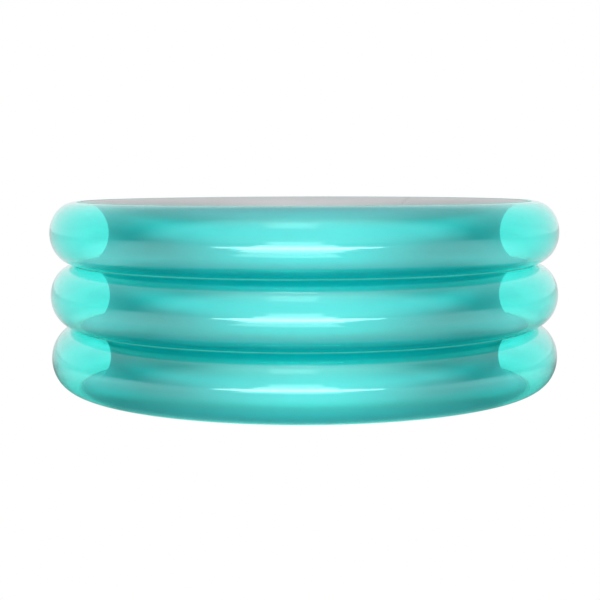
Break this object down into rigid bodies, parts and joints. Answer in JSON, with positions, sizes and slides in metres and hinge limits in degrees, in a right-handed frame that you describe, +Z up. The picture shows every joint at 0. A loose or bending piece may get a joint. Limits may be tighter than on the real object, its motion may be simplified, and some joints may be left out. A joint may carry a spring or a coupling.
{
  "type": "inflatable paddling pool",
  "caption": "Round inflatable paddling pool of stacked air rings, clear turquoise vinyl outside and silvered vinyl inside, with a vinyl floor, air valves and a floor drain.",
  "frame": {"origin": "on the ground, under the centre of the pool", "axes": "+Z up along the axis of the rings, -Y towards the front, where the picture is taken from, and +Y towards the air valves and the drain"},
  "size_m": [1.52, 1.52, 0.5526],
  "materials": {
    "clear_vinyl": "gloss",
    "silver_vinyl": "satin",
    "weld_vinyl": "satin",
    "floor_vinyl": "satin",
    "valve_vinyl": "satin",
    "plug_vinyl": "satin"
  },
  "bodies": {
    "pool": {"floor_sheet": "floor_vinyl", "outer_wall_bottom": "clear_vinyl", "outer_wall_middle": "clear_vinyl", "outer_wall_top": "clear_vinyl", "inner_wall_bottom": "silver_vinyl", "inner_wall_middle": "silver_vinyl", "inner_wall_top": "silver_vinyl", "ring_weld_lower": "weld_vinyl", "ring_weld_upper": "weld_vinyl", "crown_weld": "weld_vinyl", "valve_base_bottom": "valve_vinyl", "valve_base_middle": "valve_vinyl", "valve_base_top": "valve_vinyl", "drain_seat": "valve_vinyl", "drain_strap": "plug_vinyl"},
    "stem_bottom": {"valve_stem_bottom": "valve_vinyl", "plug_strap_bottom": "plug_vinyl"},
    "stem_middle": {"valve_stem_middle": "valve_vinyl", "plug_strap_middle": "plug_vinyl"},
    "stem_top": {"valve_stem_top": "valve_vinyl", "plug_strap_top": "plug_vinyl"},
    "flap_bottom": {"valve_flap_bottom": "valve_vinyl"},
    "flap_middle": {"valve_flap_middle": "valve_vinyl"},
    "flap_top": {"valve_flap_top": "valve_vinyl"},
    "plug_bottom": {"valve_plug_bottom": "plug_vinyl"},
    "plug_middle": {"valve_plug_middle": "plug_vinyl"},
    "plug_top": {"valve_plug_top": "plug_vinyl"},
    "drain_stopper": {"drain_plug": "plug_vinyl"}
  },
  "joints": [
    {"name": "stem_bottom_slide", "type": "slide", "parent": "pool", "child": "stem_bottom", "axis": [-0.1513, 0.8581, 0.4908], "range_m": [0, 0.012]},
    {"name": "stem_middle_slide", "type": "slide", "parent": "pool", "child": "stem_middle", "axis": [0, 0.8713, 0.4908], "range_m": [0, 0.012]},
    {"name": "stem_top_slide", "type": "slide", "parent": "pool", "child": "stem_top", "axis": [0.1513, 0.8581, 0.4908], "range_m": [0, 0.012]},
    {"name": "flap_bottom_hinge", "type": "hinge", "parent": "stem_bottom", "child": "flap_bottom", "pos_m": [-0.12596, 0.71437, 0.13689], "axis": [-0.9848, -0.1736, 0], "range_deg": [0, 60], "stiffness_Nm_per_rad": 0.00002, "springref_deg": -22.92},
    {"name": "flap_middle_hinge", "type": "hinge", "parent": "stem_middle", "child": "flap_middle", "pos_m": [0, 0.7254, 0.32119], "axis": [-1, 0, 0], "range_deg": [0, 60], "stiffness_Nm_per_rad": 0.00002, "springref_deg": -22.92},
    {"name": "flap_top_hinge", "type": "hinge", "parent": "stem_top", "child": "flap_top", "pos_m": [0.12596, 0.71437, 0.50549], "axis": [-0.9848, 0.1736, 0], "range_deg": [0, 60], "stiffness_Nm_per_rad": 0.00002, "springref_deg": -22.92},
    {"name": "plug_bottom_pull", "type": "slide", "parent": "stem_bottom", "child": "plug_bottom", "axis": [-0.1513, 0.8581, 0.4908], "range_m": [0, 0.01], "deforming": ["plug_strap_bottom"]},
    {"name": "plug_middle_pull", "type": "slide", "parent": "stem_middle", "child": "plug_middle", "axis": [0, 0.8713, 0.4908], "range_m": [0, 0.01], "deforming": ["plug_strap_middle"]},
    {"name": "plug_top_pull", "type": "slide", "parent": "stem_top", "child": "plug_top", "axis": [0.1513, 0.8581, 0.4908], "range_m": [0, 0.01], "deforming": ["plug_strap_top"]},
    {"name": "drain_stopper_lift", "type": "slide", "parent": "pool", "child": "drain_stopper", "axis": [0, 0, 1], "range_m": [0, 0.01], "deforming": ["drain_strap"]}
  ]
}
